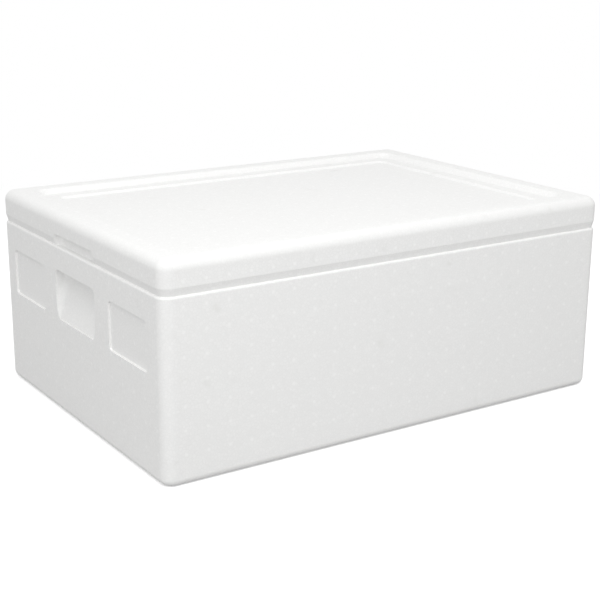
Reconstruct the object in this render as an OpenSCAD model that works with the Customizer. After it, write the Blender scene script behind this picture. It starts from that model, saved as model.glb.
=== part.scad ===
// Insulated foam box: a moulded tub with a lift-off lid.
// The frame stands at the middle of the foot, long side along X, up along Z.
// Seams between the two pieces: the lid's flat skirt rests on the tub's ledge,
// and the tub's raised tongue stands in the lid's groove with a named clearance.

/* [Box] */
// Outside length along X
box_len = 685; // [450:5:900]
// Outside depth along Y
box_dep = 485; // [400:5:650]
// Height of the seam between the tub and the lid
seam_z = 232; // [190:1:400]
// Height of the lid that shows above the seam
lid_h = 44; // [38:1:80]

/* [Foam] */
// Thickness of the side walls
wall_t = 40; // [34:1:60]
// Thickness of the floor
floor_t = 40; // [25:1:60]
// Radius of the four upright outside edges
edge_r = 16; // [15:1:30]
// Radius of the lid's top outside edge
top_r = 14; // [6:1:14]
// Radius of the tub's bottom outside edge
foot_r = 10; // [3:1:12]
// Radius of the tub's top outside edge at the seam
shoulder_r = 3; // [2:0.5:8]
// Height of the lid's undercut lower edge at the seam
lip_h = 10; // [6:0.5:12]
// Radius of the cavity's upright corners
cavity_r = 25; // [15:1:40]
// Radius between the cavity's walls and floor
cavity_floor_r = 12; // [4:1:14]

/* [Seam] */
// Width of the ledge that the lid's skirt rests on
ledge_w = 20; // [16:1:24]
// Height of the tongue that stands above the ledge
tongue_h = 12; // [6:1:16]
// Clearance on each side of the tongue in the lid's groove
fit_gap = 1; // [0.5:0.1:2]
// Clearance above the tongue in the lid's groove
roof_gap = 1; // [0.5:0.1:3]

/* [Lid top] */
// Width of the raised rim round the lid
rim_w = 33; // [26:1:45]
// Depth of the sloped recess inside the rim
recess_h = 8; // [5:0.5:10]
// Width of the shelf between the recess slope and the panel's step
shelf_w = 17.5; // [8:0.5:30]
// Depth of the panel's step below the shelf
step_h = 3.5; // [1:0.5:5]
// Radius of the rounding along the recess slope
slope_r = 5; // [2:0.5:6]

/* [Ends] */
// Width of the grip pocket in each short end
grip_w = 120; // [80:1:140]
// Height of the grip pocket
grip_h = 67; // [50:1:90]
// Depth of the grip pocket at its top
grip_deep = 24; // [12:1:28]
// Distance from the seam down to the grip pocket
grip_drop = 32; // [20:1:45]
// Depth of the grip pocket at its bottom, where its sloped back ends
grip_sill = 1.5; // [1:0.5:4]
// Gap beside each label panel
panel_gap = 40; // [25:1:45]
// Height of the label panels
panel_h = 63; // [40:1:80]
// Depth of the label panels
panel_deep = 3; // [1:0.5:6]
// Width of the finger notch under the lid's edge
notch_w = 124; // [80:1:160]
// Height of the finger notch at the lid's face
notch_h = 16; // [13:1:20]
// Height of the finger notch at its upright back
notch_back_h = 12; // [8:1:12]
// Foam left between the finger notch and the lid's groove
notch_wall = 8; // [3:0.5:9]

/* [Hidden] */
$fn = 96;
// Overcut that takes a cutter past the face it opens
over = 3;
top_z = seam_z + lid_h;
shelf_z = top_z - recess_h;
panel_z = shelf_z - step_h;
tongue_top = seam_z + tongue_h;
groove_top = tongue_top + roof_gap;
// The lid's lower edge runs inward as far as the tub's rounded shoulder does
lip_in = shoulder_r;
// Corner radius of the tongue, a little more than the cavity's
tongue_r = cavity_r + 5;
tongue_edge_r = 3;
mouth_r = 3;
// Depth by which the tongue is sunk into the wall that carries it
tongue_sink = 20;
// Corner radii of the two recesses in the lid's top
recess_r = 14;
step_r = 10;
grip_z0 = seam_z - grip_drop - grip_h;
grip_corner_r = 8;
// Inward run of the grip's back for each unit of height
grip_slope = (grip_deep - grip_sill) / grip_h;
panel_w = (box_dep - grip_w - 4 * panel_gap) / 2;
panel_y = grip_w / 2 + panel_gap + panel_w / 2;
panel_corner_r = 6;
notch_deep = ledge_w - fit_gap - notch_wall;
// Each end of the notch leans in by this much over its height, and by more over its depth
notch_lean = 5;
notch_taper = 8;
foam = [0.95, 0.95, 0.94];

// Section of a rounded edge: x runs outward from the corner's centre line, y is the height.
// r0 rounds the lower outer corner and r1 the upper one; a zero leaves that corner square.
module edge_section(run, z0, z1, r0, r1) {
  difference() {
    translate([0, z0]) square([run, z1 - z0]);
    if (r0 > 0) {
      translate([run - r0, z0 - over]) difference() {
        square([r0 + over, r0 + over]);
        translate([0, r0 + over]) circle(r = r0);
      }
    }
    if (r1 > 0) {
      translate([run - r1, z1 - r1]) difference() {
        square([r1 + over, r1 + over]);
        circle(r = r1);
      }
    }
  }
}

// A block with rounded upright corners whose sides follow the section given as the child.
// The child runs outward from the corner's centre line, from z0 to z1 at that line.
module swept_block(len_x, len_y, r, z0, z1) {
  hx = len_x / 2 - r;
  hy = len_y / 2 - r;
  translate([-hx, -hy, z0]) cube([2 * hx, 2 * hy, z1 - z0]);
  for (turn = [0, 180]) {
    rotate([0, 0, turn]) translate([hx, 0, 0]) rotate([90, 0, 0])
      linear_extrude(height = 2 * hy, center = true) children();
    rotate([0, 0, turn + 90]) translate([hy, 0, 0]) rotate([90, 0, 0])
      linear_extrude(height = 2 * hx, center = true) children();
  }
  for (px = [-hx, hx]) {
    for (py = [-hy, hy]) {
      translate([px, py, 0]) rotate_extrude() children();
    }
  }
}

// Flat rounded rectangle round the origin.
module round_rect(w, h, r) {
  square([w - 2 * r, h], center = true);
  square([w, h - 2 * r], center = true);
  for (px = [-w / 2 + r, w / 2 - r]) {
    for (py = [-h / 2 + r, h / 2 - r]) {
      translate([px, py]) circle(r = r);
    }
  }
}

// Puts a flat outline drawn in (Y, Z) on the -X end and cuts it inward to the given depth.
module end_cut(depth) {
  translate([-box_len / 2 - over, 0, 0]) rotate([90, 0, 90])
    linear_extrude(height = depth + over) children();
}

// Runs a profile drawn in (inward depth, Z) along Y on the -X end.
module end_run(width) {
  translate([-box_len / 2, 0, 0]) rotate([90, 0, 0])
    linear_extrude(height = width, center = true) children();
}

// Section of the cavity with a rounded floor edge and a rounded mouth.
module cavity_section() {
  edge_section(cavity_r, floor_t, tongue_top + over, cavity_floor_r, 0);
  difference() {
    translate([0, tongue_top - mouth_r]) square([cavity_r + mouth_r, mouth_r + over]);
    translate([cavity_r + mouth_r, tongue_top - mouth_r]) circle(r = mouth_r);
  }
}

// Grip pocket: deepest under its upper edge, with a back that slopes out to its lower edge.
module grip_pocket() {
  intersection() {
    end_cut(grip_deep + over)
      translate([0, grip_z0 + grip_h / 2]) round_rect(grip_w, grip_h, grip_corner_r);
    end_run(grip_w + 2 * over)
      polygon([
        [-over, grip_z0 - over],
        [grip_sill - over * grip_slope, grip_z0 - over],
        [grip_deep + over * grip_slope, grip_z0 + grip_h + over],
        [-over, grip_z0 + grip_h + over]
      ]);
  }
}

// Shallow label panel beside the grip pocket.
module label_panel(side) {
  end_cut(panel_deep)
    translate([side * panel_y, grip_z0 + panel_h / 2])
      round_rect(panel_w, panel_h, panel_corner_r);
}

// Finger notch: an upright back under a sloped roof, with ends that lean and taper inward.
module finger_notch() {
  roof_slope = (notch_h - notch_back_h) / notch_deep;
  end_lean = notch_lean / notch_h;
  end_taper = notch_taper / notch_deep;
  intersection() {
    end_cut(notch_deep + 2 * over)
      polygon([
        [-notch_w / 2 - over * end_lean, seam_z - over],
        [notch_w / 2 + over * end_lean, seam_z - over],
        [notch_w / 2 - notch_lean - over * end_lean, seam_z + notch_h + over],
        [-notch_w / 2 + notch_lean + over * end_lean, seam_z + notch_h + over]
      ]);
    end_run(notch_w + 4 * over)
      polygon([
        [-over, seam_z - over],
        [notch_deep, seam_z - over],
        [notch_deep, seam_z + notch_back_h],
        [-over, seam_z + notch_h + over * roof_slope]
      ]);
    translate([-box_len / 2, 0, seam_z - 2 * over])
      linear_extrude(height = notch_h + 4 * over)
        polygon([
          [-over, -notch_w / 2 - over * end_taper],
          [notch_deep + over, -notch_w / 2 + notch_taper + over * end_taper],
          [notch_deep + over, notch_w / 2 - notch_taper - over * end_taper],
          [-over, notch_w / 2 + over * end_taper]
        ]);
  }
}

// Section of the lid's outside: rounded top, and a lower edge that leans inward to the seam.
module lid_section() {
  lip_slope = lip_in / lip_h;
  difference() {
    edge_section(edge_r, seam_z, top_z, 0, top_r);
    polygon([
      [edge_r - lip_in - over * lip_slope, seam_z - over],
      [edge_r + over, seam_z - over],
      [edge_r + over, seam_z + lip_h + over / lip_slope]
    ]);
  }
}

// Section of the sloped recess: a 45 degree slope, rounded where it leaves the rim and
// where it meets the shelf.
module recess_section() {
  run = slope_r * tan(22.5);
  bend = run * cos(45);
  foot_x = recess_r;
  crest_x = recess_r + recess_h;
  difference() {
    union() {
      polygon([
        [0, shelf_z],
        [foot_x - run, shelf_z],
        [foot_x + bend, shelf_z + bend],
        [crest_x - bend, top_z - bend],
        [crest_x + run, top_z],
        [crest_x + run, top_z + over],
        [0, top_z + over]
      ]);
      translate([foot_x - run, shelf_z + slope_r]) circle(r = slope_r);
    }
    translate([crest_x + run, top_z - slope_r]) circle(r = slope_r);
  }
}

// Section of the panel's step: a short 45 degree slope.
module step_section() {
  polygon([
    [0, panel_z],
    [step_r, panel_z],
    [step_r + step_h, shelf_z],
    [step_r + step_h, shelf_z + 1],
    [0, shelf_z + 1]
  ]);
}

// Groove under the lid: the tongue's ring with the clearance on each side and above.
module lid_groove() {
  groove_in = wall_t + fit_gap;
  groove_out = ledge_w - fit_gap;
  plug_r = cavity_r - fit_gap;
  difference() {
    swept_block(box_len - 2 * groove_out, box_dep - 2 * groove_out, tongue_r + fit_gap,
                seam_z - over, groove_top)
      edge_section(tongue_r + fit_gap, seam_z - over, groove_top, 0, tongue_edge_r);
    swept_block(box_len - 2 * groove_in, box_dep - 2 * groove_in, plug_r,
                seam_z, groove_top + over)
      edge_section(plug_r, seam_z, groove_top + over, mouth_r, 0);
  }
}

module box_body() {
  color(foam) difference() {
    union() {
      swept_block(box_len, box_dep, edge_r, 0, seam_z)
        edge_section(edge_r, 0, seam_z, foot_r, shoulder_r);
      swept_block(box_len - 2 * ledge_w, box_dep - 2 * ledge_w, tongue_r,
                  seam_z - tongue_sink, tongue_top)
        edge_section(tongue_r, seam_z - tongue_sink, tongue_top, 0, tongue_edge_r);
    }
    swept_block(box_len - 2 * wall_t, box_dep - 2 * wall_t, cavity_r,
                floor_t, tongue_top + over)
      cavity_section();
    for (end = [0, 1]) {
      mirror([end, 0, 0]) {
        grip_pocket();
        label_panel(-1);
        label_panel(1);
      }
    }
  }
}

module lid() {
  slope_foot = rim_w + recess_h;
  step_foot = slope_foot + shelf_w + step_h;
  color(foam) difference() {
    swept_block(box_len, box_dep, edge_r, seam_z, top_z) lid_section();
    swept_block(box_len - 2 * slope_foot, box_dep - 2 * slope_foot, recess_r,
                shelf_z, top_z + over)
      recess_section();
    swept_block(box_len - 2 * step_foot, box_dep - 2 * step_foot, step_r,
                panel_z, shelf_z + 1)
      step_section();
    lid_groove();
    for (end = [0, 1]) {
      mirror([end, 0, 0]) finger_notch();
    }
  }
}

box_body();
lid();
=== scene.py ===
"""Looks of an insulated bead-foam box: a moulded tub, its lift-off lid and a plain studio."""

import logging
import math
from collections.abc import Callable, Iterable
from dataclasses import dataclass
from enum import Enum
from typing import ClassVar

import bmesh
import bpy
from mathutils import Matrix, Vector


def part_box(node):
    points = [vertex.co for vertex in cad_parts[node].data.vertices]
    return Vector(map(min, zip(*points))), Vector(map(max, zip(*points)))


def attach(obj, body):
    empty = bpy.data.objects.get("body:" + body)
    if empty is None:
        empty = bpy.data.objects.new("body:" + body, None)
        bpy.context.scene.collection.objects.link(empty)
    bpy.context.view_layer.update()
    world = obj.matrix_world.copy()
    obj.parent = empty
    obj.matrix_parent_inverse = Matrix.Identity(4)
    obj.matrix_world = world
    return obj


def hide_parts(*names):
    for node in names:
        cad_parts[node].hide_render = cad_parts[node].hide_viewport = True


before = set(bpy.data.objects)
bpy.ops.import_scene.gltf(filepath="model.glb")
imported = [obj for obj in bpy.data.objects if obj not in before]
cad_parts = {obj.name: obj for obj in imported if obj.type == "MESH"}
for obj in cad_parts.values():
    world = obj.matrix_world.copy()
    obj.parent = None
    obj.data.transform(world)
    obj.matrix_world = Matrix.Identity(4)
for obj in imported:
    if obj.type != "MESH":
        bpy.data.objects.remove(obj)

LOG = logging.getLogger("foam_box")

# The forms are built in millimetres and brought to metres when a piece is finished.
MM = 0.001
# Rounded edges are drawn with this many steps to a quarter turn.
UPRIGHT_STEPS = 14
EDGE_STEPS = 10
SMALL_STEPS = 4
# An edge that bends more than this is sharp.
SHARP_ANGLE = math.radians(28)
# A cutter runs this far past the face that it opens.
OVERCUT = 3.0
# Places that are closer than this count as the same place.
NEAR = 0.01
# Corners that are closer than this after a join are made into one.
MERGE = 0.001
# The two colours that go into a Mix node, and the colour that comes out.
MIX_A = 6
MIX_B = 7
MIX_RESULT = 2


class Join(Enum):
    """How one solid is put together with another."""

    ADD = "UNION"
    CUT = "DIFFERENCE"
    KEEP_COMMON = "INTERSECT"


class Arithmetic(Enum):
    """What a step of arithmetic works on, with the node that takes the step."""

    NUMBERS = "ShaderNodeMath"
    VECTORS = "ShaderNodeVectorMath"


class BoxEnd(Enum):
    """A short end of the box, with the turn about Z that takes the -X end there."""

    LEFT = 0.0
    RIGHT = math.pi


def linear_colour(hex_colour: str) -> tuple[float, float, float, float]:
    """Turns an sRGB hex colour into Blender's linear colour.

    Args:
        hex_colour: Six hex digits after a hash sign.

    Returns:
        Red, green, blue and an alpha of one.
    """
    parts = [int(hex_colour[i : i + 2], 16) / 255 for i in (1, 3, 5)]
    red, green, blue = (
        p / 12.92 if p <= 0.04045 else ((p + 0.055) / 1.055) ** 2.4 for p in parts
    )
    return red, green, blue, 1.0


def add_node(
    tree: bpy.types.NodeTree,
    kind: str,
    settings: dict[str | int, object] | None = None,
    links: dict[str | int, bpy.types.NodeSocket] | None = None,
) -> bpy.types.Node:
    """Adds one node with its settings and its incoming links.

    Args:
        tree: The node tree that takes the node.
        kind: The node's type name.
        settings: Values by property name, or by input name or number.
        links: Sockets that feed the node, by input name or number.

    Returns:
        The new node.
    """
    node = tree.nodes.new(kind)
    for key, value in (settings or {}).items():
        if isinstance(key, str) and hasattr(node, key):
            setattr(node, key, value)
        else:
            node.inputs[key].default_value = value
    for key, socket in (links or {}).items():
        tree.links.new(socket, node.inputs[key])
    return node


def add_step(
    tree: bpy.types.NodeTree, what: Arithmetic, operation: str, *operands: object
) -> bpy.types.NodeSocket:
    """Adds one step of arithmetic.

    Args:
        tree: The node tree that takes the step.
        what: What the step works on.
        operation: Blender's name of the operation.
        operands: Values, or sockets that give them, in the node's order.

    Returns:
        The result.
    """
    node = add_node(tree, what.value, {"operation": operation})
    for number, operand in enumerate(operands):
        if isinstance(operand, bpy.types.NodeSocket):
            tree.links.new(operand, node.inputs[number])
        else:
            node.inputs[number].default_value = operand
    return next(socket for socket in node.outputs if socket.enabled)


def bevel(
    form: bmesh.types.BMesh, edges: Iterable[bmesh.types.BMEdge], offset: float, steps: int
) -> None:
    """Bevels a run of edges.

    Args:
        form: The form that holds the edges.
        edges: The edges to bevel.
        offset: How far the bevel reaches from the edge.
        steps: Number of faces across it: one is flat, more are round.
    """
    bmesh.ops.bevel(
        form,
        geom=list(edges),
        offset=offset,
        offset_type="OFFSET",
        segments=steps,
        profile=0.5,
        affect="EDGES",
        clamp_overlap=False,
        material=-1,
    )


def round_off(
    form: bmesh.types.BMesh, edges: Iterable[bmesh.types.BMEdge], radius: float, steps: int
) -> None:
    """Rounds a run of edges that all bend by about the same angle.

    Args:
        form: The form that holds the edges.
        edges: The edges to round.
        radius: Radius of the rounding.
        steps: Number of faces across the rounding.
    """
    chosen = list(edges)
    if not chosen or radius <= 0:
        return
    form.normal_update()
    bend = max(edge.calc_face_angle(0.0) for edge in chosen)
    bevel(form, chosen, radius * math.tan(bend / 2), steps)


def sharp_edges(
    form: bmesh.types.BMesh, inside: Callable[[Vector], bool]
) -> list[bmesh.types.BMEdge]:
    """Finds the sharp edges whose middle passes a test.

    Args:
        form: The form to search.
        inside: Says whether a point is in the wanted place.

    Returns:
        The edges found.
    """
    form.normal_update()
    return [
        edge
        for edge in form.edges
        if edge.is_manifold
        and edge.calc_face_angle(0.0) > SHARP_ANGLE
        and inside((edge.verts[0].co + edge.verts[1].co) / 2)
    ]


def trim(
    form: bmesh.types.BMesh,
    point: tuple[float, float, float],
    normal: tuple[float, float, float],
) -> None:
    """Cuts off what lies in front of a plane and closes the cut.

    Args:
        form: The closed form to trim.
        point: A point on the plane.
        normal: The direction in which the form is cut off.
    """
    cut = bmesh.ops.bisect_plane(
        form,
        geom=form.verts[:] + form.edges[:] + form.faces[:],
        plane_co=point,
        plane_no=normal,
        clear_outer=True,
    )
    rim = [e for e in cut["geom_cut"] if isinstance(e, bmesh.types.BMEdge)]
    bmesh.ops.contextual_create(form, geom=rim)
    bmesh.ops.recalc_face_normals(form, faces=form.faces)


def gather(forms: Iterable[bmesh.types.BMesh]) -> bmesh.types.BMesh:
    """Puts several forms into one and frees them.

    Args:
        forms: The forms, which don't touch each other.

    Returns:
        One form that holds them all.
    """
    whole = bmesh.new()
    for form in forms:
        mesh = bpy.data.meshes.new("gathered")
        form.to_mesh(mesh)
        form.free()
        whole.from_mesh(mesh)
        bpy.data.meshes.remove(mesh)
    return whole


def as_object(name: str, form: bmesh.types.BMesh) -> bpy.types.Object:
    """Puts a form on a working object and frees it.

    Args:
        name: Name of the working object.
        form: The form.

    Returns:
        The object that holds the form's mesh.
    """
    mesh = bpy.data.meshes.new(name)
    form.to_mesh(mesh)
    form.free()
    part = bpy.data.objects.new(name, mesh)
    bpy.context.scene.collection.objects.link(part)
    return part


def worked_out(part: bpy.types.Object, *others: bpy.types.Object) -> bmesh.types.BMesh:
    """Takes the form that an object's modifiers give, and removes the working objects.

    Args:
        part: The object with the modifiers.
        others: Objects that the modifiers use.

    Returns:
        The form.
    """
    result = bmesh.new()
    result.from_object(part, bpy.context.evaluated_depsgraph_get())
    for spent in (part, *others):
        mesh = spent.data
        bpy.data.objects.remove(spent)
        bpy.data.meshes.remove(mesh)
    bmesh.ops.remove_doubles(result, verts=result.verts, dist=MERGE)
    bmesh.ops.dissolve_degenerate(result, edges=result.edges, dist=MERGE)
    return result


def combine(
    base: bmesh.types.BMesh, tool: bmesh.types.BMesh, how: Join
) -> bmesh.types.BMesh:
    """Joins two closed solids exactly and frees both.

    Args:
        base: The solid that is worked on.
        tool: The solid that it is joined with or cut by.
        how: The kind of join.

    Returns:
        The closed solid that comes out.
    """
    worked = as_object("base", base)
    other = as_object("tool", tool)
    joint = worked.modifiers.new("joint", "BOOLEAN")
    joint.operation = how.value
    joint.solver = "EXACT"
    joint.object = other
    return worked_out(worked, other)


@dataclass(frozen=True)
class Block:
    """A block with rounded edges, centred on the Z axis, in millimetres.

    Attributes:
        length: Size along X.
        depth: Size along Y.
        low: Height of its foot.
        high: Height of its top.
        upright: Radius of its four upright edges.
        foot: Radius of the edge round its foot.
        crown: Radius of the edge round its top.
    """

    length: float
    depth: float
    low: float
    high: float
    upright: float = 0.0
    foot: float = 0.0
    crown: float = 0.0

    def form(self) -> bmesh.types.BMesh:
        """Builds the block from a cube whose edges are rounded in turn.

        Returns:
            The closed form.
        """
        form = bmesh.new()
        bmesh.ops.create_cube(form, size=1.0)
        size = (self.length, self.depth, self.high - self.low)
        bmesh.ops.scale(form, vec=size, verts=form.verts)
        middle = (0.0, 0.0, (self.low + self.high) / 2)
        bmesh.ops.translate(form, vec=middle, verts=form.verts)
        uprights = [
            edge
            for edge in form.edges
            if abs(edge.verts[0].co.z - edge.verts[1].co.z) > NEAR
        ]
        round_off(form, uprights, self.upright, UPRIGHT_STEPS)
        for height, radius in ((self.low, self.foot), (self.high, self.crown)):
            round_off(form, self.ring_at(form, height), radius, EDGE_STEPS)
        return form

    @staticmethod
    def ring_at(form: bmesh.types.BMesh, height: float) -> list[bmesh.types.BMEdge]:
        """Finds the edges of a form that lie at one height.

        Args:
            form: The form to search.
            height: The height.

        Returns:
            The edges found.
        """
        return [
            edge
            for edge in form.edges
            if all(abs(vert.co.z - height) < NEAR for vert in edge.verts)
        ]


@dataclass(frozen=True)
class EndPlug:
    """A cutter that opens a rounded rectangle in the -X end, in millimetres.

    Attributes:
        face_x: Where the end face stands.
        width: Width along Y.
        height: Height along Z.
        deep: Depth inward from the end face.
        corner: Radius of its corners, seen square on.
        floor: Radius between its walls and its floor.
        reach: How far it stands out in front of the end face.
    """

    face_x: float
    width: float
    height: float
    deep: float
    corner: float = 0.0
    floor: float = 0.0
    reach: float = OVERCUT

    def form(self, side: float, middle: float) -> bmesh.types.BMesh:
        """Builds the cutter at its place on the end.

        Args:
            side: Where its middle is along Y.
            middle: Height of its middle.

        Returns:
            The closed form.
        """
        block = Block(
            self.height,
            self.width,
            -self.reach,
            self.deep,
            upright=self.corner,
            crown=self.floor,
        )
        form = block.form()
        turn = Matrix.Rotation(math.pi / 2, 4, "Y")
        place = Matrix.Translation((self.face_x, side, middle))
        bmesh.ops.transform(form, matrix=place @ turn, verts=form.verts)
        return form


@dataclass(frozen=True)
class GripPocket:
    """The wedge-shaped hand pocket in a short end, in millimetres.

    Attributes:
        face_x: Where the end face stands.
        low: Height of its lower edge.
        width: Width along Y.
        height: Height along Z.
        deep: Depth under its upper edge.
        sill: Depth at its lower edge, where the sloped back ends.
        corner: Radius of its corners, seen square on.
        fillet: Radius of the rounding between its walls and its back.
        reach: How far the cutter stands out in front of the end face.
    """

    face_x: float
    low: float
    width: float = 120.0
    height: float = 67.0
    deep: float = 24.0
    sill: float = 1.5
    corner: float = 8.0
    fillet: float = 8.0
    reach: float = 14.0

    def form(self) -> bmesh.types.BMesh:
        """Builds the pocket's cutter, with its inner edges rounded.

        Returns:
            The closed form.
        """
        deep = self.deep + 2 * OVERCUT
        middle = self.low + self.height / 2
        wedge = EndPlug(self.face_x, self.width, self.height, deep, reach=self.reach)
        form = wedge.form(0.0, middle)
        trim(
            form,
            (self.face_x + self.sill, 0.0, self.low),
            (self.height, 0.0, self.sill - self.deep),
        )
        # The sides and the top run into the back in a curve, and the lower edge stays crisp.
        back = [
            edge
            for edge in sharp_edges(form, lambda point: point.z > self.low + NEAR)
            if min(vert.co.x for vert in edge.verts) > self.face_x
        ]
        round_off(form, back, self.fillet, EDGE_STEPS // 2)
        plug = EndPlug(
            self.face_x,
            self.width,
            self.height,
            deep + OVERCUT,
            corner=self.corner,
            reach=self.reach + OVERCUT,
        )
        return combine(form, plug.form(0.0, middle), Join.KEEP_COMMON)


@dataclass(frozen=True)
class FingerNotch:
    """The finger notch under the lid's edge, in millimetres.

    Attributes:
        face_x: Where the end face stands.
        low: Height of the seam that it opens from.
        width: Width along Y at the seam.
        height: Height on the end face.
        back: Height of its upright back.
        deep: Depth of its back.
        lean: How far each of its ends leans inward over its height.
        taper: How far each of its ends runs in over its depth.
        fillet: Radius of the rounding round its back.
        skim: How far the cutter runs under the seam, so that the foam ends in no thin edge.
    """

    face_x: float
    low: float
    width: float = 124.0
    height: float = 16.0
    back: float = 12.0
    deep: float = 11.0
    lean: float = 5.0
    taper: float = 8.0
    fillet: float = 5.5
    skim: float = 0.5

    def form(self) -> bmesh.types.BMesh:
        """Builds the notch's cutter from a block that planes trim.

        Returns:
            The closed form.
        """
        # The block is larger than the notch, and the planes bring it to shape.
        block = Block(2 * self.deep, 2 * self.width, -self.skim, self.height + self.deep)
        form = block.form()
        trim(form, (self.deep, 0.0, self.back), (self.height - self.back, 0.0, self.deep))
        for side in (-1, 1):
            middle = (0.0, side * self.width / 2, 0.0)
            trim(form, middle, (0.0, side * self.height, self.lean))
            trim(form, middle, (self.taper, side * self.deep, 0.0))
        valleys = sharp_edges(form, lambda point: point.x > self.deep - NEAR)
        round_off(form, valleys, self.fillet, SMALL_STEPS)
        place = Matrix.Translation((self.face_x, 0.0, self.low))
        bmesh.ops.transform(form, matrix=place, verts=form.verts)
        return form


def at_both_ends(make: Callable[[], Iterable[bmesh.types.BMesh]]) -> bmesh.types.BMesh:
    """Builds the cutters of the -X end, and the same turned to the +X end.

    Args:
        make: Builds the cutters of the -X end.

    Returns:
        One form that holds the cutters of both ends.
    """
    ends = []
    for end in BoxEnd:
        form = gather(make())
        turn = Matrix.Rotation(end.value, 4, "Z")
        bmesh.ops.transform(form, matrix=turn, verts=form.verts)
        ends.append(form)
    return gather(ends)


@dataclass(frozen=True)
class BeadFoam:
    """Expanded polystyrene, moulded from steam-fused beads in a vented metal mould.

    The eye sees a bright, matt white skin. Its beads are flattened against the mould, so
    their many-sided outlines show faintly, some a shade lighter than others, and rows of
    small round marks show where the mould let its steam through.

    Attributes:
        name: Name of the material.
        light: Colour of the lightest beads.
        shade: Colour of the darkest beads.
        seam: Colour along the lines between beads.
        smear: Colour of the faint scuffs from handling.
        vent: Colour of the dense skin in a vent mark.
        bead: Size of a bead in millimetres; real ones are 3 to 5.
        wander: How far the lines between beads stray, as a share of a bead.
        wander_length: Length over which they stray, in millimetres.
        flank: Width of the slope beside such a line, as a share of a bead.
        seam_depth: Depth of the lines between beads in millimetres.
        bead_rise: How far the beads stand out, in seam depths.
        vent_pitch: Distance between the vent marks in millimetres.
        vent_radius: Radius of a vent mark in millimetres.
        vent_blur: How softly a vent mark ends, in millimetres.
        vent_rise: Height of a vent mark, in seam depths.
        vent_row: Height of a row of vent marks in millimetres.
        wave: Length of the skin's slow waves in millimetres.
        scuff_scale: How closely the scuffs could lie, in cells to a metre.
        scuff_start: Level of the noise from which a scuff shows.
        scuff_full: Level of the noise where it is at its strongest.
        flatness: How nearly a face has to stand along an axis to bear vent marks.
        roughness: Roughness of the moulded skin.
        refraction: Refractive index of polystyrene.
    """

    name: str = "Expanded_polystyrene"
    light: str = "#F5F5F4"
    shade: str = "#F2F2F1"
    seam: str = "#F0F0EF"
    smear: str = "#EBEBE9"
    vent: str = "#F8F8F7"
    bead: float = 4.2
    wander: float = 0.5
    wander_length: float = 7.0
    flank: float = 0.16
    seam_depth: float = 0.02
    bead_rise: float = 0.6
    vent_pitch: float = 30.0
    vent_radius: float = 2.0
    vent_blur: float = 1.2
    vent_rise: float = 2.0
    vent_row: float = 9.0
    wave: float = 25.0
    scuff_scale: float = 26.0
    scuff_start: float = 0.66
    scuff_full: float = 0.8
    flatness: float = 0.999
    roughness: float = 0.62
    refraction: float = 1.59

    def material(self) -> bpy.types.Material:
        """Builds the foam's material on Object coordinates.

        Returns:
            The material.
        """
        material = bpy.data.materials.new(self.name)
        material.use_nodes = True
        tree = material.node_tree
        tree.nodes.clear()
        place = add_node(tree, "ShaderNodeTexCoord")
        point = place.outputs["Object"]
        seam, tone = self.beads(tree, point)
        vent = self.vents(tree, point, place.outputs["Normal"])
        smear = self.smears(tree, point)
        colour = self.colour(tree, seam, tone, vent, smear)
        relief = self.relief(tree, point, seam, tone, vent)
        skin = add_node(
            tree,
            "ShaderNodeBsdfPrincipled",
            {"Roughness": self.roughness, "IOR": self.refraction},
            {"Base Color": colour, "Normal": relief},
        )
        add_node(
            tree,
            "ShaderNodeOutputMaterial",
            links={"Surface": skin.outputs["BSDF"]},
        )
        return material

    def beads(
        self, tree: bpy.types.NodeTree, point: bpy.types.NodeSocket
    ) -> tuple[bpy.types.NodeSocket, bpy.types.NodeSocket]:
        """Draws the fused beads.

        Args:
            tree: The material's node tree.
            point: The place on the surface.

        Returns:
            How far a place is from a line between beads, from 0 on it to 1, and each
            bead's own random tone.
        """
        scale = 1 / (self.bead * MM)
        stray = add_node(
            tree,
            "ShaderNodeTexNoise",
            {"Scale": 1 / (self.wander_length * MM), "Detail": 1.0},
            {"Vector": point},
        )
        bent = add_step(
            tree,
            Arithmetic.VECTORS,
            "MULTIPLY_ADD",
            stray.outputs["Color"],
            (self.bead * MM * self.wander,) * 3,
            point,
        )
        edge = add_node(
            tree,
            "ShaderNodeTexVoronoi",
            {"feature": "DISTANCE_TO_EDGE", "Scale": scale},
            {"Vector": bent},
        )
        cell = add_node(
            tree, "ShaderNodeTexVoronoi", {"feature": "F1", "Scale": scale}, {"Vector": bent}
        )
        flank = add_node(
            tree,
            "ShaderNodeMapRange",
            {"interpolation_type": "SMOOTHSTEP", "From Max": self.flank},
            {"Value": edge.outputs["Distance"]},
        )
        tone = add_node(
            tree, "ShaderNodeSeparateColor", links={"Color": cell.outputs["Color"]}
        )
        return flank.outputs["Result"], tone.outputs["Red"]

    def vents(
        self,
        tree: bpy.types.NodeTree,
        point: bpy.types.NodeSocket,
        normal: bpy.types.NodeSocket,
    ) -> bpy.types.NodeSocket:
        """Draws the round marks that the mould's steam vents leave on its flat faces.

        Args:
            tree: The material's node tree.
            point: The place on the surface.
            normal: The direction that the surface faces.

        Returns:
            1 inside a vent mark and 0 outside it.
        """
        pitch = self.vent_pitch * MM
        half = pitch / 2
        vectors = Arithmetic.VECTORS
        lift = (0.0, 0.0, half - self.vent_row * MM)
        shifted = add_step(tree, vectors, "ADD", point, lift)
        wrapped = add_step(tree, vectors, "WRAP", shifted, (half,) * 3, (-half,) * 3)
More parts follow.
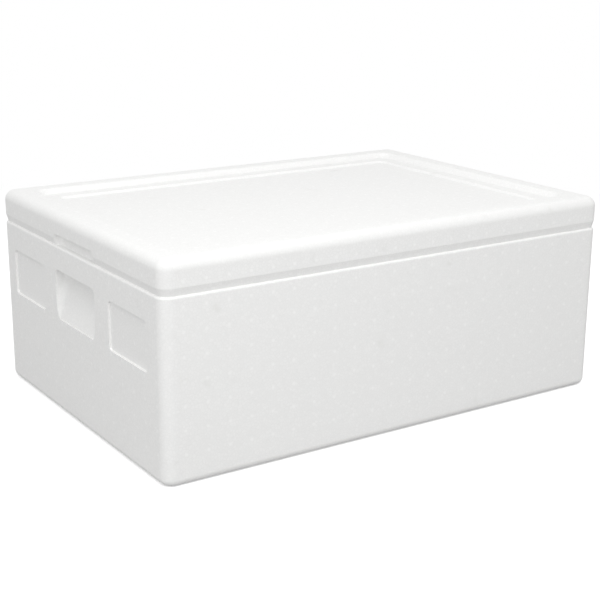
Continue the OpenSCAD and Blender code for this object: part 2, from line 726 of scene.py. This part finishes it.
        # The marks stand half a pitch off the middle planes, so the wrapped place is
        # turned inside out before its distance from the mark's middle is taken.
        folded = add_step(tree, vectors, "ABSOLUTE", wrapped)
        centred = add_step(tree, vectors, "SUBTRACT", folded, (half,) * 3)
        squares = add_step(tree, vectors, "MULTIPLY", centred, centred)
        facing = add_step(tree, vectors, "MULTIPLY", normal, normal)
        across = add_step(tree, vectors, "SUBTRACT", (1.0, 1.0, 1.0), facing)
        reach = add_step(tree, vectors, "DOT_PRODUCT", squares, across)
        distance = add_step(tree, Arithmetic.NUMBERS, "SQRT", reach)
        disc = add_node(
            tree,
            "ShaderNodeMapRange",
            {
                "interpolation_type": "SMOOTHSTEP",
                "From Min": (self.vent_radius - self.vent_blur) * MM,
                "From Max": (self.vent_radius + self.vent_blur) * MM,
                "To Min": 1.0,
                "To Max": 0.0,
            },
            {"Value": distance},
        )
        # Only flat faces that stand along an axis were formed by vented mould plates.
        flat = add_step(tree, vectors, "DOT_PRODUCT", facing, facing)
        plate = add_step(tree, Arithmetic.NUMBERS, "GREATER_THAN", flat, self.flatness)
        return add_step(tree, Arithmetic.NUMBERS, "MULTIPLY", disc.outputs["Result"], plate)

    def smears(
        self, tree: bpy.types.NodeTree, point: bpy.types.NodeSocket
    ) -> bpy.types.NodeSocket:
        """Draws the few faint scuffs that handling leaves.

        Args:
            tree: The material's node tree.
            point: The place on the surface.

        Returns:
            How strong the scuff is, from 0 to 1.
        """
        # The scuffs are 5 to 10 mm across and lie some 80 mm apart.
        patch = add_node(
            tree,
            "ShaderNodeTexNoise",
            {"Scale": self.scuff_scale, "Detail": 3.0, "Roughness": 0.55},
            {"Vector": point},
        )
        rare = add_node(
            tree,
            "ShaderNodeMapRange",
            {
                "interpolation_type": "SMOOTHSTEP",
                "From Min": self.scuff_start,
                "From Max": self.scuff_full,
            },
            {"Value": patch.outputs["Fac"]},
        )
        return rare.outputs["Result"]

    def colour(
        self,
        tree: bpy.types.NodeTree,
        seam: bpy.types.NodeSocket,
        tone: bpy.types.NodeSocket,
        vent: bpy.types.NodeSocket,
        smear: bpy.types.NodeSocket,
    ) -> bpy.types.NodeSocket:
        """Mixes the foam's colour.

        Args:
            tree: The material's node tree.
            seam: Distance from a line between beads.
            tone: Each bead's own tone.
            vent: 1 inside a vent mark.
            smear: Strength of the scuffs.

        Returns:
            The colour.
        """
        # The first two colours show where their factor is 0 and the last two where it is 1.
        layers = (
            (tone, self.shade, MIX_A, MIX_B),
            (seam, self.seam, MIX_A, MIX_B),
            (vent, self.vent, MIX_B, MIX_A),
            (smear, self.smear, MIX_B, MIX_A),
        )
        mixed = None
        for factor, colour, own, rest in layers:
            mix = add_node(
                tree,
                "ShaderNodeMix",
                {"data_type": "RGBA", own: linear_colour(colour)},
                {"Factor": factor},
            )
            if mixed is None:
                mix.inputs[rest].default_value = linear_colour(self.light)
            else:
                tree.links.new(mixed, mix.inputs[rest])
            mixed = mix.outputs[MIX_RESULT]
        return mixed

    def relief(
        self,
        tree: bpy.types.NodeTree,
        point: bpy.types.NodeSocket,
        seam: bpy.types.NodeSocket,
        tone: bpy.types.NodeSocket,
        vent: bpy.types.NodeSocket,
    ) -> bpy.types.NodeSocket:
        """Raises the beads and the vent marks by their real heights.

        Args:
            tree: The material's node tree.
            point: The place on the surface.
            seam: Distance from a line between beads.
            tone: Each bead's own tone.
            vent: 1 inside a vent mark.

        Returns:
            The bumped normal.
        """
        # The skin waves by a few hundredths of a millimetre.
        wave = add_node(
            tree,
            "ShaderNodeTexNoise",
            {"Scale": 1 / (self.wave * MM), "Detail": 1.0},
            {"Vector": point},
        )
        total = wave.outputs["Fac"]
        for height, share in ((seam, 1.0), (tone, self.bead_rise), (vent, self.vent_rise)):
            total = add_step(
                tree, Arithmetic.NUMBERS, "MULTIPLY_ADD", height, share, total
            )
        bump = add_node(
            tree,
            "ShaderNodeBump",
            {"Strength": 1.0, "Distance": self.seam_depth * MM},
            {"Height": total},
        )
        return bump.outputs["Normal"]


@dataclass(frozen=True)
class BoxSizes:
    """Sizes that the tub and the lid share, in millimetres.

    Attributes:
        length: Outside length along X.
        depth: Outside depth along Y.
        top: Height of the lid's rim.
        seam: Height of the seam between them.
        upright: Radius of the four upright outside edges.
        wall: Thickness of the side walls.
        cavity_corner: Radius of the cavity's upright corners.
        ledge: Width of the ledge that the lid's skirt rests on.
        tongue: Height of the tongue above the ledge.
        tongue_corner: Radius of the tongue's outer corners.
        tongue_edge: Radius of the tongue's upper edges.
        clearance: Gap on each side of the tongue and above it.
    """

    length: float
    depth: float
    top: float
    seam: float
    upright: float = 16.0
    wall: float = 40.0
    cavity_corner: float = 25.0
    ledge: float = 20.0
    tongue: float = 12.0
    tongue_corner: float = 30.0
    tongue_edge: float = 3.0
    clearance: float = 1.0

    @property
    def end_x(self) -> float:
        """Where the -X end face stands."""
        return -self.length / 2

    def inset(self, low: float, high: float, by: float, **radii: float) -> Block:
        """A block that stands in from the outside by one distance all round."""
        return Block(self.length - 2 * by, self.depth - 2 * by, low, high, **radii)


@dataclass(frozen=True)
class MouldedPiece:
    """A piece of the box moulded in one shot from bead foam.

    Attributes:
        name: Name of the piece.
        node: The CAD node that the piece stands for.
        body: The CAD body that the piece moves with.
        sizes: The sizes that the tub and the lid share.
        finish: The foam's material.
    """

    name: ClassVar[str]
    node: ClassVar[str]
    body: ClassVar[str]
    sizes: BoxSizes
    finish: bpy.types.Material

    def form(self) -> bmesh.types.BMesh:
        """Builds the piece's closed form in millimetres."""
        raise NotImplementedError

    def build(self) -> bpy.types.Object:
        """Builds, dresses and places the piece.

        Returns:
            The finished object.
        """
        form = self.form()
        bmesh.ops.recalc_face_normals(form, faces=form.faces)
        bmesh.ops.scale(form, vec=(MM, MM, MM), verts=form.verts)
        for face in form.faces:
            face.smooth = True
        for edge in form.edges:
            edge.smooth = edge.calc_face_angle(0.0) < SHARP_ANGLE
        mesh = bpy.data.meshes.new(self.name)
        form.to_mesh(mesh)
        form.free()
        piece = bpy.data.objects.new(self.name, mesh)
        bpy.context.scene.collection.objects.link(piece)
        mesh.materials.append(self.finish)
        flat = piece.modifiers.new("flat_faces", "WEIGHTED_NORMAL")
        flat.mode = "FACE_AREA"
        flat.weight = 100
        flat.keep_sharp = True
        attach(piece, self.body)
        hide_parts(self.node)
        return piece


@dataclass(frozen=True)
class Tub(MouldedPiece):
    """The tub: walls, cavity, tongue, grip pockets and label panels, in millimetres.

    Attributes:
        floor: Thickness of the floor.
        foot_radius: Radius of the edge round the foot.
        shoulder_radius: Radius of the outside edge at the seam.
        cavity_floor_radius: Radius between the cavity's walls and its floor.
        tongue_root: How far the tongue's solid runs down into the walls.
        grip_low: Height of the grip pocket's lower edge.
        panel_width: Width of a label panel.
        panel_height: Height of a label panel.
        panel_deep: Depth of a label panel.
        panel_side: Distance of its middle from the box's middle plane.
        panel_corner: Radius of its corners.
        panel_floor_radius: Radius between its walls and its floor.
        mouth_radius: Radius of the edges round the pockets and the panels.
    """

    name: ClassVar[str] = "foam_tub"
    node: ClassVar[str] = "box_body"
    body: ClassVar[str] = "tub"
    floor: float = 40.0
    foot_radius: float = 10.0
    shoulder_radius: float = 3.0
    cavity_floor_radius: float = 12.0
    tongue_root: float = 20.0
    grip_low: float = 133.0
    panel_width: float = 102.5
    panel_height: float = 63.0
    panel_deep: float = 3.0
    panel_side: float = 151.25
    panel_corner: float = 6.0
    panel_floor_radius: float = 1.0
    mouth_radius: float = 0.8

    def end_cutters(self) -> list[bmesh.types.BMesh]:
        """Builds the grip pocket and the two label panels of the -X end.

        Returns:
            The cutters.
        """
        end_x = self.sizes.end_x
        panel = EndPlug(
            end_x,
            self.panel_width,
            self.panel_height,
            self.panel_deep,
            corner=self.panel_corner,
            floor=self.panel_floor_radius,
        )
        middle = self.grip_low + self.panel_height / 2
        cutters = [panel.form(side * self.panel_side, middle) for side in (-1, 1)]
        return [GripPocket(end_x, self.grip_low).form(), *cutters]

    def form(self) -> bmesh.types.BMesh:
        """Builds the tub from its outside, its tongue, its cavity and the end cutters.

        Returns:
            The closed form.
        """
        sizes = self.sizes
        tongue_top = sizes.seam + sizes.tongue
        outside = sizes.inset(
            0.0,
            sizes.seam,
            0.0,
            upright=sizes.upright,
            foot=self.foot_radius,
            crown=self.shoulder_radius,
        )
        tongue = sizes.inset(
            sizes.seam - self.tongue_root,
            tongue_top,
            sizes.ledge,
            upright=sizes.tongue_corner,
            crown=sizes.tongue_edge,
        )
        cavity = sizes.inset(
            self.floor,
            tongue_top + OVERCUT,
            sizes.wall,
            upright=sizes.cavity_corner,
            foot=self.cavity_floor_radius,
        )
        form = combine(outside.form(), tongue.form(), Join.ADD)
        form = combine(form, cavity.form(), Join.CUT)
        mouth = sharp_edges(form, lambda point: abs(point.z - tongue_top) < NEAR)
        round_off(form, mouth, sizes.tongue_edge, EDGE_STEPS // 2)
        form = combine(form, at_both_ends(self.end_cutters), Join.CUT)
        rims = sharp_edges(form, lambda point: abs(abs(point.x) + sizes.end_x) < NEAR)
        round_off(form, rims, self.mouth_radius, SMALL_STEPS // 2)
        return form


@dataclass(frozen=True)
class Lid(MouldedPiece):
    """The lid: rim, two-stage recess, undercut, groove and notches, in millimetres.

    Attributes:
        top_radius: Radius of the edge round the top.
        lip_height: Height of the undercut band above the seam.
        lip_inward: How far the band leans inward at the seam.
        lip_radius: Radius of the edge above the band.
        rim: Width of the raised rim.
        recess: Depth of the recess inside the rim, and width of its slope.
        recess_corner: Radius of the recess's corners at its foot.
        slope_radius: Radius of the slope's crest and foot.
        shelf: Width of the shelf between the slope and the panel.
        step: Depth of the panel below the shelf, and width of its slope.
        step_corner: Radius of the panel's corners.
        step_radius: Radius of that slope's crest and foot.
        mouth_radius: Radius of the edges round a notch's mouth.
    """

    name: ClassVar[str] = "foam_lid"
    node: ClassVar[str] = "lid"
    body: ClassVar[str] = "lid"
    top_radius: float = 14.0
    lip_height: float = 10.0
    lip_inward: float = 3.0
    lip_radius: float = 1.5
    rim: float = 33.0
    recess: float = 8.0
    recess_corner: float = 14.0
    slope_radius: float = 5.0
    shelf: float = 17.5
    step: float = 3.5
    step_corner: float = 10.0
    step_radius: float = 1.5
    mouth_radius: float = 3.0

    def slope_cutter(
        self, block: Block, drop: float, low_radius: float
    ) -> bmesh.types.BMesh:
        """Builds a cutter with sides that slope at 45 degrees down to its floor.

        Args:
            block: The block at the slope's upper edge.
            drop: Height of the slope.
            low_radius: Radius where the slope meets the floor.

        Returns:
            The closed form.
        """
        form = block.form()
        bevel(form, Block.ring_at(form, block.low), drop, 1)
        round_off(form, Block.ring_at(form, block.low), low_radius, SMALL_STEPS)
        return form

    def outside(self) -> bmesh.types.BMesh:
        """Builds the lid's outside, whose lower edge leans inward to the seam.

        Returns:
            The closed form.
        """
        sizes = self.sizes
        block = sizes.inset(
            sizes.seam, sizes.top, 0.0, upright=sizes.upright, crown=self.top_radius
        )
        form = block.form()
        form.normal_update()
        bevel(form, Block.ring_at(form, sizes.seam), self.lip_inward, 1)
        brow = sizes.seam + self.lip_inward
        crease = Block.ring_at(form, brow)
        rise = (0.0, 0.0, self.lip_height - self.lip_inward)
        raised = {vert for edge in crease for vert in edge.verts}
        bmesh.ops.translate(form, vec=rise, verts=list(raised))
        round_off(form, crease, self.lip_radius, SMALL_STEPS)
        return form

    def groove(self) -> bmesh.types.BMesh:
        """Builds the ring that the tub's tongue stands in.

        Returns:
            The closed form.
        """
        sizes = self.sizes
        gap = sizes.clearance
        roof = sizes.seam + sizes.tongue + gap
        ring = sizes.inset(
            sizes.seam - OVERCUT,
            roof,
            sizes.ledge - gap,
            upright=sizes.tongue_corner + gap,
            crown=sizes.tongue_edge,
        )
        plug = sizes.inset(
            sizes.seam,
            roof + OVERCUT,
            sizes.wall + gap,
            upright=sizes.cavity_corner - gap,
            foot=sizes.tongue_edge,
        )
        return combine(ring.form(), plug.form(), Join.CUT)

    def form(self) -> bmesh.types.BMesh:
        """Builds the lid from its outside, its two recesses, its groove and its notches.

        Returns:
            The closed form.
        """
        sizes = self.sizes
        form = self.outside()
        shelf_z = sizes.top - self.recess
        recess = sizes.inset(
            shelf_z,
            sizes.top + OVERCUT,
            self.rim,
            upright=self.recess_corner + self.recess,
        )
        cutter = self.slope_cutter(recess, self.recess, self.slope_radius)
        form = combine(form, cutter, Join.CUT)
        crest = sharp_edges(form, lambda point: abs(point.z - sizes.top) < NEAR)
        round_off(form, crest, self.slope_radius, SMALL_STEPS)
        panel_z = shelf_z - self.step
        step = sizes.inset(
            panel_z,
            shelf_z + self.step,
            self.rim + self.recess + self.shelf - self.step,
            upright=self.step_corner + 2 * self.step,
        )
        cutter = self.slope_cutter(step, 2 * self.step, self.step_radius)
        form = combine(form, cutter, Join.CUT)
        brink = sharp_edges(form, lambda point: abs(point.z - shelf_z) < NEAR)
        round_off(form, brink, self.step_radius, SMALL_STEPS)
        form = combine(form, self.groove(), Join.CUT)
        notch = FingerNotch(sizes.end_x, sizes.seam)
        form = combine(form, at_both_ends(lambda: [notch.form()]), Join.CUT)
        # The mouth's edges lie on the end face and on the undercut below it.
        skin = -sizes.end_x - self.lip_inward
        mouth = sharp_edges(
            form,
            lambda point: abs(point.x) > skin
            and abs(point.y) < notch.width / 2
            and sizes.seam + NEAR < point.z < sizes.seam + notch.height + NEAR,
        )
        round_off(form, mouth, self.mouth_radius, SMALL_STEPS)
        return form


@dataclass(frozen=True)
class StudioWhite:
    """Matt white studio paper, swept flat under the box.

    Attributes:
        name: Name of the material.
        paper: Colour of the paper as light sees it.
        shadow_share: Share of the seen white that comes from the lamps, so that the box
            still throws its shadow.
        glow: Share of the seen white that the paper gives by itself.
        near: Distance from the box where the paper starts to fade into the white.
        far: Distance where it has faded.
    """

    name: str = "Studio_paper"
    paper: str = "#B4B4B4"
    shadow_share: float = 1.1
    glow: float = 0.28
    near: float = 0.7
    far: float = 1.6

    def material(self) -> bpy.types.Material:
        """Builds the paper's material.

        Returns:
            The material.
        """
        material = bpy.data.materials.new(self.name)
        material.use_nodes = True
        tree = material.node_tree
        tree.nodes.clear()
        lit = add_node(tree, "ShaderNodeBsdfDiffuse", {"Color": linear_colour(self.paper)})
        share = self.shadow_share
        faint = add_node(tree, "ShaderNodeBsdfDiffuse", {"Color": (share, share, share, 1.0)})
        glow = add_node(tree, "ShaderNodeEmission", {"Strength": self.glow})
        near = add_node(
            tree,
            "ShaderNodeAddShader",
            links={0: faint.outputs["BSDF"], 1: glow.outputs["Emission"]},
        )
        white = add_node(tree, "ShaderNodeEmission", {"Strength": 1.0})
        place = add_node(tree, "ShaderNodeTexCoord")
        away = add_step(tree, Arithmetic.VECTORS, "LENGTH", place.outputs["Object"])
        fade = add_node(
            tree,
            "ShaderNodeMapRange",
            {"interpolation_type": "SMOOTHSTEP", "From Min": self.near, "From Max": self.far},
            {"Value": away},
        )
        # Only the camera sees the shadow. A gloss shows plain white and no more light.
        path = add_node(tree, "ShaderNodeLightPath")
        numbers = Arithmetic.NUMBERS
        mirrored = add_step(tree, numbers, "SUBTRACT", 1.0, path.outputs["Is Camera Ray"])
        plain = add_step(tree, numbers, "MAXIMUM", fade.outputs["Result"], mirrored)
        seen = add_node(
            tree,
            "ShaderNodeMixShader",
            links={
                0: plain,
                1: near.outputs["Shader"],
                2: white.outputs["Emission"],
            },
        )
        shown = add_node(
            tree,
            "ShaderNodeMixShader",
            links={0: seen_rays(tree), 1: lit.outputs["BSDF"], 2: seen.outputs["Shader"]},
        )
        # From below the paper is open, so that the box's underside can be looked at.
        side = add_node(tree, "ShaderNodeNewGeometry")
        clear = add_node(tree, "ShaderNodeBsdfTransparent")
        whole = add_node(
            tree,
            "ShaderNodeMixShader",
            links={
                0: side.outputs["Backfacing"],
                1: shown.outputs["Shader"],
                2: clear.outputs["BSDF"],
            },
        )
        add_node(tree, "ShaderNodeOutputMaterial", links={"Surface": whole.outputs["Shader"]})
        return material


def seen_rays(tree: bpy.types.NodeTree) -> bpy.types.NodeSocket:
    """Finds the rays that show the background: seen straight, in a gloss or through glass.

    Args:
        tree: The node tree that asks.

    Returns:
        1 for such a ray and 0 for one that only carries light.
    """
    path = add_node(tree, "ShaderNodeLightPath")
    total = path.outputs["Is Camera Ray"]
    for name in ("Is Glossy Ray", "Is Transmission Ray"):
        added = add_node(
            tree,
            "ShaderNodeMath",
            {"operation": "ADD", "use_clamp": True},
            {0: total, 1: path.outputs[name]},
        )
        total = added.outputs["Value"]
    return total


@dataclass(frozen=True)
class SoftLamp:
    """A square soft box that looks at the middle of the foam box.

    Attributes:
        name: Name of the lamp.
        place: Where it stands, in metres.
        size: Side of its square, in metres.
        power: Its power in watts.
        aim: The place that it looks at, in metres.
    """

    name: str
    place: tuple[float, float, float]
    size: float
    power: float
    aim: tuple[float, float, float] = (0.0, 0.0, 0.14)

    def build(self) -> None:
        """Sets up the lamp."""
        light = bpy.data.lights.new(self.name, "AREA")
        light.size = self.size
        light.energy = self.power
        lamp = bpy.data.objects.new(self.name, light)
        lamp.location = self.place
        direction = Vector(self.aim) - Vector(self.place)
        lamp.rotation_euler = direction.to_track_quat("-Z", "Y").to_euler()
        bpy.context.scene.collection.objects.link(lamp)


@dataclass(frozen=True)
class Studio:
    """The floor, the soft lamps and the white surroundings.

    Attributes:
        floor_size: Side of the floor, in metres.
        ambient: Strength of the light that comes from all round.
        lamps: The soft lamps.
    """

    floor_size: float = 40.0
    ambient: float = 0.79
    lamps: tuple[SoftLamp, ...] = (
        SoftLamp("key", (-0.5, -0.9, 1.4), size=1.0, power=6.9),
        SoftLamp("front_fill", (-0.4, -3.0, 1.1), size=2.0, power=4.6),
        SoftLamp("side_fill", (-2.0, -1.8, 1.0), size=1.6, power=8.2),
    )

    def build(self) -> None:
        """Sets up the floor, the lamps and the world."""
        form = bmesh.new()
        bmesh.ops.create_grid(form, x_segments=1, y_segments=1, size=self.floor_size / 2)
        mesh = bpy.data.meshes.new("studio_floor")
        form.to_mesh(mesh)
        form.free()
        mesh.materials.append(StudioWhite().material())
        floor = bpy.data.objects.new("studio_floor", mesh)
        bpy.context.scene.collection.objects.link(floor)
        for lamp in self.lamps:
            lamp.build()
        world = bpy.data.worlds.new("studio")
        world.use_nodes = True
        tree = world.node_tree
        tree.nodes.clear()
        around = add_node(tree, "ShaderNodeBackground", {"Strength": self.ambient})
        white = add_node(tree, "ShaderNodeBackground", {"Strength": 1.0})
        for node in (around, white):
            node.inputs["Color"].default_value = linear_colour("#FFFFFF")
        mixed = add_node(
            tree,
            "ShaderNodeMixShader",
            links={
                0: seen_rays(tree),
                1: around.outputs["Background"],
                2: white.outputs["Background"],
            },
        )
        add_node(tree, "ShaderNodeOutputWorld", links={"Surface": mixed.outputs["Shader"]})
        bpy.context.scene.world = world
        bpy.context.scene.view_settings.view_transform = "Standard"


@dataclass(frozen=True)
class PhotoCamera:
    """The camera at the photograph's place, fitted to the box's straight edges.

    Attributes:
        place: Where it stands, in millimetres.
        forward: The direction that it looks along.
        up: The direction that is up in the picture.
        lens: Focal length in millimetres.
        sensor: Width of the sensor in millimetres.
        sight: How far it sees, in metres.
    """

    place: tuple[float, float, float] = (-963.9, -1462.6, 628.3)
    forward: tuple[float, float, float] = (0.529672, 0.800975, -0.279082)
    up: tuple[float, float, float] = (0.148259, 0.236535, 0.960245)
    lens: float = 76.313
    sensor: float = 36.0
    sight: float = 100.0

    def build(self) -> None:
        """Sets up the camera and makes it the scene's own."""
        data = bpy.data.cameras.new("photo_camera")
        data.sensor_width = self.sensor
        data.lens = self.lens
        data.clip_end = self.sight
        camera = bpy.data.objects.new("photo_camera", data)
        forward = Vector(self.forward).normalized()
        up = Vector(self.up).normalized()
        turn = Matrix((forward.cross(up), up, -forward)).transposed()
        camera.rotation_euler = turn.to_euler()
        camera.location = Vector(self.place) * MM
        bpy.context.scene.collection.objects.link(camera)
        bpy.context.scene.camera = camera


def shared_sizes() -> BoxSizes:
    """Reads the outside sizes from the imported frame.

    Returns:
        The sizes that the tub and the lid share.
    """
    low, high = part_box("lid")
    return BoxSizes(
        length=(high[0] - low[0]) / MM,
        depth=(high[1] - low[1]) / MM,
        top=high[2] / MM,
        seam=low[2] / MM,
    )


def main() -> None:
    """Builds the box and its studio, and reports each piece."""
    logging.basicConfig(level=logging.INFO, format="%(name)s: %(message)s")
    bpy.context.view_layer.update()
    PhotoCamera().build()
    Studio().build()
    foam = BeadFoam().material()
    sizes = shared_sizes()
    for piece in (Tub(sizes, foam), Lid(sizes, foam)):
        made = piece.build()
        LOG.info("%s: %d faces on body %s", made.name, len(made.data.polygons), piece.body)


if __name__ == "__main__":
    main()
